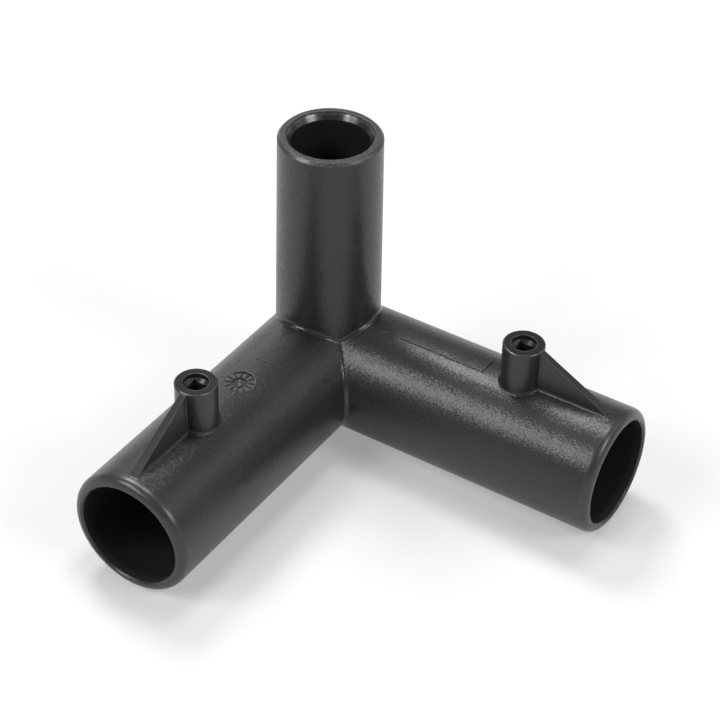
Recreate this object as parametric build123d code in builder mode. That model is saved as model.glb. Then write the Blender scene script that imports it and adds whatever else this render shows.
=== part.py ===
"""Corner connector for three tubes, moulded in one piece of plastic.

Two arms lie flat at a right angle and an upright stands on the corner between them.
Each is a blind socket that takes the end of a tube. Every arm carries a screw boss
on top, braced by a triangular rib that runs down towards the arm's mouth.

The origin is the point where the three tube axes cross. The arms point along +X and
+Y, and the upright points along +Z. All sizes are in millimetres.
"""
from build123d import *
from math import atan, degrees, hypot, radians, tan
import os

# Tubes that the sockets take
arm_tube_od = 28.0
upright_tube_od = 20.0
tube_clearance = 0.2  # on the diameter

# Arms
arm_wall = 2.9
arm_length = 88.5  # from the crossing of the tube axes to the mouth
arm_mouth_round = 2.4
seat_ledge = 4.1  # width of the ring that stops the tube, round the recess behind it
seat_web = 3.9  # plastic left where a socket or its recess comes nearest to the next one

# Upright
upright_height = 69.2  # from the crossing to the mouth
upright_wall = 3.45  # at the mouth, and the draft makes it thicker towards the arms
upright_draft = 0.5  # degrees
upright_seat = 0.0  # the tube stops level with the axes of the arms
upright_ledge = 3.6  # width of the ring that stops the tube
upright_mouth_bevel = 0.7
upright_lip_depth = 0.3  # straight wall between the top face and the lead-in
upright_lead_in_width = 1.15
upright_lead_in_depth = 1.5

# Screw bosses
boss_distance = 59.0  # from the crossing to the boss axis
boss_od = 10.9
boss_rise = 11.9  # from the arm's highest line to the top face
boss_edge_bevel = 0.25
screw_hole = 6.6
screw_hole_depth = 1.4
square_hole = 4.6  # the hole turns square below its round mouth
funnel_depth = 0.8

# Ribs
rib_head_width = 1.7
rib_foot_width = 2.4
rib_drop = 0.5  # from the boss's top face to the rib's highest point
rib_foot_gap = 1.0  # bare arm between the rib's foot and the rounding of the mouth

# Blends where the arms and the upright meet, and round the bosses
corner_blend = 1.1
boss_blend = 0.8

# Marking pad on the +Y arm, left bare
pad_start = 18.2
pad_end = 49.3
pad_width = 5.7
pad_rise = 0.3

# Moulding date dial and tally groove on the +X arm
dial_distance = 40.9
dial_diameter = 8.0
dial_depth = 0.55  # from the arm's highest line to the dial's face
dial_hub_diameter = 4.2
dial_hub_depth = 0.4
dial_ticks = 12
dial_turn = 25.0  # degrees
dial_line_width = 0.4
dial_line_rise = 0.3
dial_margin = 0.25  # between a tick's ends and the hub or the rim
arrow_turn = 34.0  # degrees
arrow_length = 3.0
arrow_head = 1.5
tally_distance = 30.9
tally_length = 3.4
tally_width = 0.5
tally_depth = 0.3

# Worked out from the sizes above
arm_bore_radius = (arm_tube_od + tube_clearance) / 2
arm_radius = arm_bore_radius + arm_wall
arm_mouth_break = arm_wall - arm_mouth_round  # bevel from the end of the rounding to the bore
arm_seat = arm_bore_radius + seat_web  # where the tube stops, clear of the other arm's socket
upright_bore_radius = (upright_tube_od + tube_clearance) / 2
upright_radius = upright_bore_radius + upright_wall
upright_base_radius = upright_radius + upright_height * tan(radians(upright_draft))
upright_lip_floor = upright_height - upright_lip_depth
arm_recess_radius = arm_bore_radius - seat_ledge
arm_recess_floor = upright_bore_radius + seat_web
upright_recess_radius = upright_bore_radius - upright_ledge
upright_recess_floor = seat_web - arm_radius
boss_radius = boss_od / 2
boss_height = arm_radius + boss_rise
rib_head = boss_distance + boss_radius
rib_foot = arm_length - arm_mouth_round - rib_foot_gap
rib_height = boss_height - rib_drop - arm_radius
dial_face = arm_radius - dial_depth
crossing = (0, 0, 0)
joining = 0.5  # how far an added form reaches into what carries it


# Rib: a drafted wall from the boss to the mouth, cut back to a slope
with BuildPart() as rib:
    rib_draft = (rib_foot_width - rib_head_width) / 2 / rib_height
    with BuildSketch(Plane.XY.offset(arm_radius - joining)):
        with Locations((rib_head - joining, 0)):
            Rectangle(
                arm_length - rib_head,
                rib_foot_width + 2 * joining * rib_draft,
                align=(Align.MIN, Align.CENTER),
            )
    extrude(amount=boss_height - arm_radius + joining, taper=degrees(atan(rib_draft)))
    slope = Plane(
        origin=(rib_foot, 0, arm_radius),
        x_dir=(0, 1, 0),
        z_dir=(rib_height, 0, rib_foot - rib_head),
    )
    split(bisect_by=slope, keep=Keep.BOTTOM)


def lies_on_arm(edge):
    """True for an edge along which a boss or a long side of its rib meets the arm."""
    points = [edge.position_at(share) for share in (0, 0.25, 0.5, 0.75, 1)]
    on_surface = all(abs(hypot(point.Y, point.Z) - arm_radius) < 0.02 for point in points)
    beside_boss = all(boss_distance - boss_od < point.X < rib_foot + joining for point in points)
    return on_surface and beside_boss and edge.length > boss_radius


# Outside of the arm along +X, with its boss and rib
with BuildPart() as arm:
    with BuildSketch(Plane.XZ):
        with BuildLine():
            Polyline((0, 0), (0, -arm_radius), (arm_length, -arm_radius), (arm_length, 0), close=True)
        make_face()
    revolve(axis=Axis.X)
    fillet(arm.edges().filter_by(GeomType.CIRCLE).sort_by(Axis.X)[-1], radius=arm_mouth_round)

    with BuildSketch(Plane.XY):
        with Locations((boss_distance, 0)):
            Circle(boss_radius)
    extrude(amount=boss_height)
    add(rib.part)
    fillet(arm.edges().filter_by(lies_on_arm), radius=boss_blend)
    boss_rim = arm.edges().filter_by(GeomType.CIRCLE).sort_by(Axis.Z)[-1]
    chamfer(boss_rim, length=boss_edge_bevel)


# Core that forms a screw hole: a round mouth with a funnel below it, and a square hole
# that cuts through the funnel and leaves four sloping ledges
with BuildPart() as screw_core:
    funnel_top = boss_height - screw_hole_depth
    with BuildSketch(Plane.XZ):
        with BuildLine():
            Polyline(
                (0, funnel_top - funnel_depth),
                (square_hole / 2, funnel_top - funnel_depth),
                (screw_hole / 2, funnel_top),
                (screw_hole / 2, boss_height + screw_hole_depth),
                (0, boss_height + screw_hole_depth),
                close=True,
            )
        make_face()
    revolve(axis=Axis.Z)
    with BuildSketch(Plane.XY):
        Rectangle(square_hole, square_hole)
    extrude(amount=funnel_top)


# Bare marking pad, which stands proud of the +Y arm
with BuildPart() as marking_pad:
    with BuildSketch(Plane(origin=(0, pad_start, 0), x_dir=(-1, 0, 0), z_dir=(0, 1, 0))):
        Circle(arm_radius + pad_rise)
        with Locations((0, arm_radius)):
            Rectangle(pad_width, 2 * joining, mode=Mode.INTERSECT)
    extrude(amount=pad_end - pad_start)


# Raised lines of the date dial, and its arrow
with BuildPart() as dial_lines:
    tick_start = dial_hub_diameter / 2 + dial_margin
    tick_end = dial_diameter / 2 - dial_margin
    with BuildSketch(Plane.XY.offset(dial_face - joining)):
        with Locations((dial_distance, 0)):
            with PolarLocations((tick_start + tick_end) / 2, dial_ticks, start_angle=dial_turn):
                Rectangle(tick_end - tick_start, dial_line_width)
    extrude(amount=joining + dial_line_rise)

with BuildPart() as dial_arrow:
    with BuildSketch(Plane.XY.offset(dial_face - joining)):
        with Locations(Location((dial_distance, 0, 0), (0, 0, arrow_turn))):
            Rectangle(arrow_length, 1.5 * dial_line_width)
            with Locations((arrow_length / 2 - arrow_head / 2, 0)):
                Triangle(c=arrow_head, a=arrow_head, b=arrow_head, rotation=-90)
    extrude(amount=joining + dial_line_rise - dial_hub_depth)


def socket_core(direction, beside, mouth, lead_in, bore_radius, seat, recess_radius, recess_floor):
    """Core that forms a blind socket: the recess behind the seat, tube bore and lead-in."""
    lead_in_width, lead_in_depth = lead_in
    with BuildPart() as core:
        with BuildSketch(Plane(origin=crossing, x_dir=direction, z_dir=beside)):
            with BuildLine():
                Polyline(
                    (recess_floor, 0),
                    (recess_floor, recess_radius),
                    (seat, recess_radius),
                    (seat, bore_radius),
                    (mouth - lead_in_depth, bore_radius),
                    (mouth, bore_radius + lead_in_width),
                    (mouth, 0),
                    close=True,
                )
            make_face()
        revolve(axis=Axis(crossing, direction))
    return core.part


arm_mouth = (arm_length, (arm_mouth_break, arm_mouth_break))
arm_inside = (arm_bore_radius, arm_seat, arm_recess_radius, arm_recess_floor)
left_core = socket_core((1, 0, 0), (0, 1, 0), *arm_mouth, *arm_inside)
right_core = socket_core((0, 1, 0), (-1, 0, 0), *arm_mouth, *arm_inside)
upright_mouth = (upright_lip_floor, (upright_lead_in_width, upright_lead_in_depth))
upright_inside = (upright_bore_radius, upright_seat, upright_recess_radius, upright_recess_floor)
upright_core = socket_core((0, 0, 1), (1, -1, 0), *upright_mouth, *upright_inside)


def lies_in_corner(edge):
    """True for the crease between the arms and for the edges at the foot of the upright."""
    points = [edge.position_at(share) for share in (0, 0.25, 0.5, 0.75, 1)]
    in_crease = all(abs(point.X - point.Y) < 0.01 and point.X > -0.01 for point in points)
    slope = tan(radians(upright_draft))
    at_foot = all(
        abs(hypot(point.X, point.Y) - upright_base_radius + point.Z * slope) < 0.01 for point in points
    )
    return (in_crease or at_foot) and edge.geom_type != GeomType.LINE and edge.center().Z < arm_radius


with BuildPart() as corner_connector:
    # Two arms that meet in a ball corner
    add(arm.part)
    add(mirror(arm.part, about=Plane(origin=crossing, z_dir=(1, -1, 0)), mode=Mode.PRIVATE))
    Sphere(arm_radius)

    # Upright, drafted so that it narrows towards its mouth
    with BuildSketch(Plane(origin=crossing, x_dir=(-1, -1, 0), z_dir=(-1, 1, 0))):
        with BuildLine():
            Polyline(
                (0, 0),
                (upright_base_radius, 0),
                (upright_radius, upright_height),
                (0, upright_height),
                close=True,
            )
        make_face()
    revolve(axis=Axis.Z)

    # Blends in the crease between the arms and round the foot of the upright
    fillet(corner_connector.edges().filter_by(lies_in_corner), radius=corner_blend)

    # Bevelled outer edge of the upright's mouth
    upright_rim = corner_connector.edges().filter_by(GeomType.CIRCLE).sort_by(Axis.Z)[-1]
    chamfer(upright_rim, length=upright_mouth_bevel)

    # Marking pad, the sunk face of the date dial with its raised lines, and the tally groove
    add(marking_pad.part)
    with BuildSketch(Plane.XY.offset(dial_face)):
        with Locations((dial_distance, 0)):
            Circle(dial_diameter / 2)
    extrude(amount=arm_radius, mode=Mode.SUBTRACT)
    add(dial_lines.part)
    with BuildSketch(Plane.XY.offset(dial_face - dial_hub_depth)):
        with Locations((dial_distance, 0)):
            Circle(dial_hub_diameter / 2)
    extrude(amount=arm_radius, mode=Mode.SUBTRACT)
    add(dial_arrow.part)
    with BuildSketch(Plane.XY.offset(arm_radius - tally_depth)):
        with Locations((tally_distance, 0)):
            Rectangle(tally_width, tally_length)
    extrude(amount=joining, mode=Mode.SUBTRACT)

    # Sockets for the tubes, and the straight lip at the upright's mouth
    add((left_core, right_core, upright_core), mode=Mode.SUBTRACT)
    with BuildSketch(Plane.XY.offset(upright_lip_floor)):
        Circle(upright_bore_radius + upright_lead_in_width)
    extrude(amount=upright_height, mode=Mode.SUBTRACT)

    # Screw holes through the bosses into the arm sockets
    with Locations((boss_distance, 0, 0), (0, boss_distance, 0)):
        add(screw_core.part, mode=Mode.SUBTRACT)

corner_connector.part.label = "corner_connector"
os.makedirs("parts", exist_ok=True)
export_step(corner_connector.part, "parts/corner_connector.step")
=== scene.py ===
"""Studio picture of a moulded corner connector, on a white floor.

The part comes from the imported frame. The script gives it its moulded finish, a floor,
lights and the photograph's camera. The arms lie along +X and +Y, and the upright stands
along +Z. Lengths are in metres and angles in degrees, unless a comment says otherwise.
"""

from math import cos, pi, radians, sin, tan
from types import SimpleNamespace

import bpy
from mathutils import Matrix, Vector


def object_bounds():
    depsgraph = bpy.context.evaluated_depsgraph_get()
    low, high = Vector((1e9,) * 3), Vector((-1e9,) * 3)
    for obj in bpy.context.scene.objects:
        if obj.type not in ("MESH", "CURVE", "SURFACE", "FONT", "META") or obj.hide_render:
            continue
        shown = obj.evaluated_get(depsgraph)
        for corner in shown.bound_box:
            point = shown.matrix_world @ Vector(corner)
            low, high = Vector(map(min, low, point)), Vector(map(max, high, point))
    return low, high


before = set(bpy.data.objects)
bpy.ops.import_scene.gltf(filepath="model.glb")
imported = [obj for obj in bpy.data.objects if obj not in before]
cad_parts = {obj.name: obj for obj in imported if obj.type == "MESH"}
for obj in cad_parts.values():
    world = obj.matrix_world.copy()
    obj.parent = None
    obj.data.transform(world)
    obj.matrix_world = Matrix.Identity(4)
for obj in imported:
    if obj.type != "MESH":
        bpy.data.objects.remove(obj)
bpy.context.scene.view_settings.view_transform = "Standard"
cad_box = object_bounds()
part = bpy.data.objects["corner_connector"]

# Camera of the photograph
camera_place = (0.39060, 0.25497, 0.36871)
camera_target = (-0.00349, 0.00817, -0.00173)
camera_roll = 1.424  # anticlockwise, as the camera sees it
camera_lens = 109.62  # millimetres
camera_sensor = 36  # width of the picture, in millimetres
camera_nearest = 0.01  # the camera sees nothing nearer than this

# Studio
floor_size = 20
floor_white = 0.53
floor_lift = 0.3  # light that the floor adds for the camera, so that it looks white
backdrop_white = 0.78
backdrop_top = 14  # height up to which the pale backdrop reaches, seen from the part
backdrop_fade = 6
fill_light = 0.08  # from above the backdrop
softbox_distance = 1.5

# Tubes of the part. A distance that names no other end is from the crossing of their axes.
arm_mouth = cad_box[1].x
arm_radius = 0.017
arm_inner = 0.0155  # radius midway in an arm's wall
mouth_round = 0.0024  # rounding of the arms' mouths
upright_mouth = cad_box[1].z
upright_radius = 0.01355  # at its mouth, from where it grows towards the foot
upright_draft = 0.0087  # growth of that radius for each metre down
upright_lip = 0.01135  # just over the radius of the lip round the upright's lead-in
upright_near = 2 * upright_lip  # a radius round the upright that leaves out the bosses
rim_bevel = 0.0007  # bevel of the upright's mouth
socket_reach = 0.0135  # how far a socket goes on past the crossing
blend_reach = 0.00154  # most distance of a blend from the farther of the tubes it joins
blend_rise = (0.00002, 0.00012)  # height over the tubes where a blend starts, and is full

# Bosses, ribs, dial and tally groove
boss_top = 0.0289
boss_bevel = 0.00025
boss_face_depth = 0.00005  # depth under the top that still counts as a boss's flat face
rib_rise = (0.0003, 0.0006)  # height over the tubes where ribs and bosses start, and are full
dial_distance = 0.0409
dial_radius = 0.004
dial_face = 0.0165  # just above the dial's face, below the tops of its strokes
dial_hub_radius = 0.0021
dial_hub = 0.0161  # just above the hub's floor, below the top of the arrow
dial_fade = 0.0001
tally_distance = 0.028  # of the groove's middle, along its arm
tally_reach = 0.008  # half the stretch of the arm that the groove lies in
tally_above = 0.012  # height over which it lies
tally_deepest = 0.001  # more than the groove's depth, and less than the arm's wall
tally_depth = (0.00005, 0.00015)  # depth in the arm where the groove starts, and is full
mask_fade = 0.0002  # width over which one finish goes over into the next

# Relief of the finish
edge_round = 0.0003
dial_edge_round = 0.00009
edge_samples = 6
edge_lean = (0.01, 0.12)  # 1 less the cosine of an edge's lean, where its paler paint for wear and painted highlight starts, and is full
pit_size = 0.0005
pit_depth = 0.00003
pit_detail = 1.0
facet_size = 0.00036
facet_tilt = 0.12  # range of the facets' lean on each axis, where their normal is 1 long
rib_smooth = 0.7  # smoothness of ribs and bosses, where 1 has no grain

# Gloss: the roughness, and what a place adds to it or takes from it
roughness = 0.30
patch_roughness = 0.08
patch_size = 0.012
patch_detail = 3.0
boss_face_gloss = 0.10
upright_gloss = 0.11  # inside the upright
blend_gloss = 0.13
rib_gloss = 0.05
wear_and_highlight_gloss = 0.05

# Wear, and painted highlights on edges and blends, where 1 is a fully painted edge
edge_paint_patches = (0.35, 0.6)  # value of the patches where their edges are plain, and fully painted paler for wear and painted highlight
mouth_wear = 0.55
# painted highlight in the blends, as a share of the paler edge colour
blend_highlight = 0.4
least_edge_paint = 0.6  # least painted highlight on the ribs' and bosses' edges, in patches where edges are plain
speck_size = 0.0005
speck_detail = 1.0
speck_spread = (0.55, 0.7)  # value of the noise where a speck starts, and is full
speck_wear = 0.6

# Colours
plain_colour = (0.019, 0.0222, 0.0188, 1)
# paler, for worn places and for painted highlights on edges and blends
wear_and_highlight_colour = (0.042, 0.047, 0.043, 1)
# paler still, for specks rubbed bare and for painted highlights along rib and boss edges
bare_and_highlight_colour = (0.13, 0.138, 0.131, 1)
# painted light: the dial's face and arrow are painted paler, as though lit
dial_painted_light_colour = (0.056, 0.06, 0.056, 1)
# painted shade on the dial's strokes and hub, and in the tally groove
painted_shade_colour = (0.009, 0.01, 0.009, 1)
plastic_ior = 1.5


def add_camera():
    """The photograph's camera, aimed from its place at its target and then rolled."""
    data = bpy.data.cameras.new("camera")
    data.lens = camera_lens
    data.sensor_width = camera_sensor
    data.clip_start = camera_nearest
    camera = bpy.data.objects.new("camera", data)
    bpy.context.collection.objects.link(camera)
    aim = Vector(camera_target) - Vector(camera_place)
    facing = aim.to_track_quat("-Z", "Y").to_matrix().to_4x4()
    facing.translation = camera_place
    camera.matrix_world = facing @ Matrix.Rotation(radians(camera_roll), 4, "Z")
    bpy.context.scene.camera = camera


class Shading:
    """A node tree, with short calls that add its nodes and join them."""

    def __init__(self, tree):
        self.tree = tree

    def node(self, kind, **settings):
        made = self.tree.nodes.new("ShaderNode" + kind)
        for name, value in settings.items():
            setattr(made, name, value)
        return made

    def put(self, node, name, value):
        """Set a socket, from another node's output or to a constant."""
        socket = node.inputs[name]
        if isinstance(value, bpy.types.NodeSocket):
            self.tree.links.new(value, socket)
        else:
            socket.default_value = value

    def math(self, operation, *values, clamp=False):
        made = self.node("Math", operation=operation, use_clamp=clamp)
        for place, value in enumerate(values):
            self.put(made, place, value)
        return made.outputs[0]

    def chain(self, operation, first, *others):
        """The first value put together with each of the others in turn."""
        for value in others:
            first = self.math(operation, first, value)
        return first

    def largest(self, *values):
        return self.chain("MAXIMUM", *values)

    def product(self, *values):
        return self.chain("MULTIPLY", *values)

    def inverse(self, mask):
        return self.math("SUBTRACT", 1.0, mask)

    def vector(self, operation, *values, scale=None):
        made = self.node("VectorMath", operation=operation)
        for place, value in enumerate(values):
            self.put(made, place, value)
        if scale is not None:
            self.put(made, "Scale", scale)
        return made.outputs["Value" if operation == "DOT_PRODUCT" else "Vector"]

    def split(self, place):
        """The X, Y and Z of a place."""
        made = self.node("SeparateXYZ")
        self.put(made, "Vector", place)
        return made.outputs

    def ramp(self, value, low, high, start=0.0, end=1.0):
        """The start where the value is at low or under it, the end at high or over it."""
        made = self.node("MapRange", interpolation_type="SMOOTHSTEP")
        self.put(made, "Value", value)
        self.put(made, "From Min", low)
        self.put(made, "From Max", high)
        self.put(made, "To Min", start)
        self.put(made, "To Max", end)
        return made.outputs["Result"]

    def beyond(self, value, limit):
        """1 where the value is at the limit or over it, with a fade just under it."""
        return self.ramp(value, limit - mask_fade, limit)

    def length(self, across, up):
        square = self.math("MULTIPLY_ADD", across, across, self.math("MULTIPLY", up, up))
        return self.math("SQRT", square)

    def inside(self, across, up, radius, along):
        """1 within the radius of a socket's axis, on the socket's side of the crossing."""
        distance = self.length(across, up)
        near = self.inverse(self.ramp(distance, radius, radius + mask_fade))
        return self.product(near, self.math("GREATER_THAN", along, -socket_reach))

    def noise(self, place, grain, detail):
        made = self.node("TexNoise")
        self.put(made, "Vector", place)
        self.put(made, "Scale", 1 / grain)
        self.put(made, "Detail", detail)
        return made.outputs["Fac"]

    def mix(self, share, first, second):
        """The first colour where the share is 0, the second where it is 1."""
        made = self.node("Mix", data_type="RGBA")
        first_colour, second_colour, mixed = 6, 7, 2  # a Mix node's sockets for colours
        self.put(made, "Factor", share)
        self.put(made, first_colour, first)
        self.put(made, second_colour, second)
        return made.outputs[mixed]


def new_material(name):
    """A material and its shading, with no nodes in it yet."""
    material = bpy.data.materials.new(name)
    material.use_nodes = True
    material.node_tree.nodes.clear()
    return material, Shading(material.node_tree)


def white_floor():
    """Matt white, with some light added for what sees it directly or in a reflection."""
    material, shading = new_material("floor_white")
    paper = shading.node("BsdfDiffuse")
    shading.put(paper, "Color", (floor_white, floor_white, floor_white, 1))
    path = shading.node("LightPath")
    rays = ("Is Camera Ray", "Is Glossy Ray", "Is Transmission Ray")
    seen = shading.largest(*(path.outputs[ray] for ray in rays))
    lift = shading.node("Emission")
    shading.put(lift, "Strength", shading.product(seen, floor_lift))
    both = shading.node("AddShader")
    shading.put(both, 0, paper.outputs[0])
    shading.put(both, 1, lift.outputs[0])
    shading.put(shading.node("OutputMaterial"), "Surface", both.outputs[0])
    return material


def add_floor():
    """White floor that the part lies on."""
    bpy.ops.mesh.primitive_plane_add(size=floor_size, location=(0, 0, cad_box[0].z))
    floor = bpy.context.object
    floor.name = "floor"
    floor.data.materials.append(white_floor())


def add_surroundings():
    """White backdrop all round, low down, and a dim studio above it."""
    world = bpy.data.worlds.new("studio")
    world.use_nodes = True
    shading = Shading(world.node_tree)
    height = shading.split(shading.node("TexCoord").outputs["Generated"])["Z"]
    fade_from = sin(radians(backdrop_top - backdrop_fade))
    fade_to = sin(radians(backdrop_top))
    light = shading.ramp(height, fade_from, fade_to, backdrop_white, fill_light)
    background = world.node_tree.nodes["Background"]
    shading.put(background, "Color", (1, 1, 1, 1))
    shading.put(background, "Strength", light)
    bpy.context.scene.world = world


def add_softbox(name, turn, height, width, share):
    """Round softbox that faces the crossing of the part's axes.

    The turn goes from +X towards +Y. The width is the angle that it fills, seen from the
    part. The share is the light that it gives a white surface square to it, where 1 makes
    that surface render white.
    """
    light = bpy.data.lights.new(name, "AREA")
    light.shape = "DISK"
    light.size = 2 * softbox_distance * tan(radians(width / 2))
    light.energy = share * (pi * softbox_distance) ** 2
    softbox = bpy.data.objects.new(name, light)
    bpy.context.collection.objects.link(softbox)
    turn, height = radians(turn), radians(height)
    away = Vector((cos(height) * cos(turn), cos(height) * sin(turn), sin(height)))
    softbox.location = away * softbox_distance
    softbox.rotation_euler = away.to_track_quat("Z", "Y").to_euler()


def find_places(shading, place):
    """Masks of the part's places, each 1 on its place and 0 elsewhere."""
    x, y, z = shading.split(place)
    on = SimpleNamespace()

    # Heights over the surfaces of the three tubes, less than 0 inside a tube
    over_left = shading.math("SUBTRACT", shading.length(y, z), arm_radius)
    over_right = shading.math("SUBTRACT", shading.length(x, z), arm_radius)
    radius_at_crossing = upright_radius + upright_draft * upright_mouth
    radius_here = shading.math("MULTIPLY_ADD", z, -upright_draft, radius_at_crossing)
    over_upright = shading.math("SUBTRACT", shading.length(x, y), radius_here)
    over_nearer = shading.math("MINIMUM", over_left, over_right)
    over_farther = shading.math("MAXIMUM", over_left, over_right)
    lowest = shading.math("MINIMUM", over_nearer, over_upright)
    over_farther = shading.math("MINIMUM", over_farther, over_upright)
    next_lowest = shading.math("MAXIMUM", over_nearer, over_farther)

    # A blend lies just over two tubes at once. The ribs and bosses stand well out of all.
    near_two = shading.math("LESS_THAN", next_lowest, blend_reach)
    on.blend = shading.product(shading.ramp(lowest, *blend_rise), near_two)
    on.rib = shading.ramp(lowest, *rib_rise)

    # Mouths, and the insides of the sockets
    on.rim = shading.beyond(z, upright_mouth - rim_bevel)
    arm_end = arm_mouth - mouth_round
    on.mouth = shading.largest(shading.beyond(x, arm_end), shading.beyond(y, arm_end))
    on.upright_inside = shading.inside(x, y, upright_lip, z)
    on.left_inside = shading.inside(y, z, arm_inner, x)
    on.right_inside = shading.inside(x, z, arm_inner, y)

    # Tops of the bosses
    away = shading.inverse(shading.inside(x, y, upright_near, z))
    on.boss = shading.product(shading.beyond(z, boss_top - boss_bevel), away)
    flat = shading.math("GREATER_THAN", z, boss_top - boss_face_depth)
    on.boss_face = shading.product(on.boss, flat)

    # The dial, with its face and the arrow in its hub painted paler as though lit
    from_dial = shading.math("SUBTRACT", x, dial_distance)
    on.dial = shading.inside(from_dial, y, dial_radius, z)
    stroke = shading.product(on.dial, shading.ramp(z, dial_face, dial_face + dial_fade))
    hub = shading.inside(from_dial, y, dial_hub_radius, z)
    arrow = shading.product(hub, shading.ramp(z, dial_hub, dial_hub + dial_fade))
    face = shading.math("SUBTRACT", on.dial, shading.largest(stroke, hub))
    on.dial_face = shading.math("MAXIMUM", face, arrow, clamp=True)

    # Painted shade on the dial's strokes and in its hub, and in the tally groove
    groove = shading.product(
        shading.ramp(shading.product(over_left, -1.0), *tally_depth),
        shading.math("GREATER_THAN", over_left, -tally_deepest),
        shading.math("GREATER_THAN", z, tally_above),
        shading.math("COMPARE", x, tally_distance, tally_reach),
    )
    on.dark = shading.largest(shading.math("SUBTRACT", on.dial, on.dial_face), groove)
    return on


def find_wear_and_highlights(shading, place, on, rounded):
    """Masks of worn places and painted highlights, of places painted paler still, and the
    patches that they follow.

    Small edges are where the rounded normal leans from the flat one. The upright's rim and the
    arms' mouths are worn. Small edges are painted paler for wear and painted highlight, and
    the blends get a painted highlight. The ribs' and bosses' edges get a brighter painted
    highlight, and specks on the upright's rim are rubbed bare.
    """
    flat = shading.node("NewGeometry").outputs["Normal"]
    lean = shading.inverse(shading.vector("DOT_PRODUCT", rounded, flat))
    edge = shading.ramp(lean, *edge_lean)
    patches = shading.noise(place, patch_size, patch_detail)
    edge_paint = shading.ramp(patches, *edge_paint_patches)
    # Worn rim and mouths, small edges painted paler for wear and painted highlight, and a
    # painted highlight in the blends
    wear_and_highlight = shading.largest(
        shading.product(edge, edge_paint),
        on.rim,
        shading.product(on.mouth, mouth_wear),
        shading.product(on.blend, blend_highlight),
    )
    # Painted highlight along the ribs' and bosses' edges, patchy
    edge_paint_share = shading.math("MULTIPLY_ADD", edge_paint, 1 - least_edge_paint, least_edge_paint)
    rib_edge_highlight = shading.product(edge, on.rib, edge_paint_share)
    specks = shading.ramp(shading.noise(place, speck_size, speck_detail), *speck_spread)
    specks = shading.product(specks, on.rim, speck_wear)
    return wear_and_highlight, shading.largest(rib_edge_highlight, specks), patches


def grain(shading, place, on, rounded):
    """Normal of the eroded grain: shallow pits, and small facets that glitter."""
    grained = shading.inverse(shading.largest(
        on.rim, on.mouth, on.boss, on.blend, on.dial, shading.product(on.rib, rib_smooth),
        on.left_inside, on.right_inside, on.upright_inside,
    ))
    pits = shading.noise(place, pit_size, pit_detail)
    bump = shading.node("Bump")
    shading.put(bump, "Strength", 1.0)
    shading.put(bump, "Distance", pit_depth)
    shading.put(bump, "Height", shading.product(pits, grained))
    shading.put(bump, "Normal", rounded)
    # The random colour of a facet is its lean, where mid grey is none
    facets = shading.node("TexVoronoi")
    shading.put(facets, "Vector", place)
    shading.put(facets, "Scale", 1 / facet_size)
    tilt = shading.vector("SUBTRACT", facets.outputs["Color"], (0.5, 0.5, 0.5))
    tilt = shading.vector("SCALE", tilt, scale=shading.product(grained, facet_tilt))
    return shading.vector("NORMALIZE", shading.vector("ADD", bump.outputs[0], tilt))


def gloss(shading, on, wear_and_highlight, patches):
    """Roughness: patchy over a few millimetres, less on smooth places, worn places and painted
    highlights.
    """
    return shading.chain(
        "SUBTRACT",
        shading.math("MULTIPLY_ADD", patches, patch_roughness, roughness),
        shading.product(on.boss_face, boss_face_gloss),
        shading.product(on.upright_inside, upright_gloss),
        shading.product(on.blend, blend_gloss),
        shading.product(on.rib, rib_gloss),
        shading.product(wear_and_highlight, wear_and_highlight_gloss),
    )


def moulded_plastic():
    """Black plastic with a fine eroded grain, smooth at the mouths and inside the sockets,
    with painted highlights and painted shade.
    """
    material, shading = new_material("black_plastic_moulded")
    place = shading.node("TexCoord").outputs["Object"]
    on = find_places(shading, place)

    # Small edges are rounded as the mould leaves them, and less on the dial
    bevel = shading.node("Bevel", samples=edge_samples)
    less = dial_edge_round - edge_round
    shading.put(bevel, "Radius", shading.math("MULTIPLY_ADD", on.dial, less, edge_round))
    rounded = bevel.outputs[0]
    wear_and_highlight, bare_and_highlight, patches = find_wear_and_highlights(shading, place, on, rounded)

    # Paler for wear, and painted highlights on small edges and blends
    colour = shading.mix(wear_and_highlight, plain_colour, wear_and_highlight_colour)
    # Paler still: specks rubbed bare, and painted highlights along the ribs' and bosses' edges
    colour = shading.mix(bare_and_highlight, colour, bare_and_highlight_colour)
    # Painted light on the dial's face and arrow, paler as though lit
    colour = shading.mix(on.dial_face, colour, dial_painted_light_colour)
    # Painted shade on the dial's strokes and hub, and in the tally groove
    colour = shading.mix(on.dark, colour, painted_shade_colour)

    plastic = shading.node("BsdfPrincipled")
    shading.put(plastic, "Base Color", colour)
    shading.put(plastic, "Roughness", gloss(shading, on, wear_and_highlight, patches))
    shading.put(plastic, "IOR", plastic_ior)
    shading.put(plastic, "Normal", grain(shading, place, on, rounded))
    shading.put(shading.node("OutputMaterial"), "Surface", plastic.outputs[0])
    return material


add_camera()
add_floor()
add_surroundings()
add_softbox("softbox_left", turn=323, height=45, width=20, share=0.33)
add_softbox("softbox_front_left", turn=346, height=39, width=10, share=0.15)
add_softbox("softbox_back_left", turn=239, height=58, width=18, share=0.50)
add_softbox("softbox_right", turn=90, height=37, width=20, share=0.33)
add_softbox("softbox_back_right", turn=130, height=35, width=30, share=0.08)
add_softbox("softbox_back", turn=222, height=20, width=24, share=0.06)
add_softbox("softbox_top", turn=180, height=78, width=20, share=0.35)

part.material_slots[0].material = moulded_plastic()
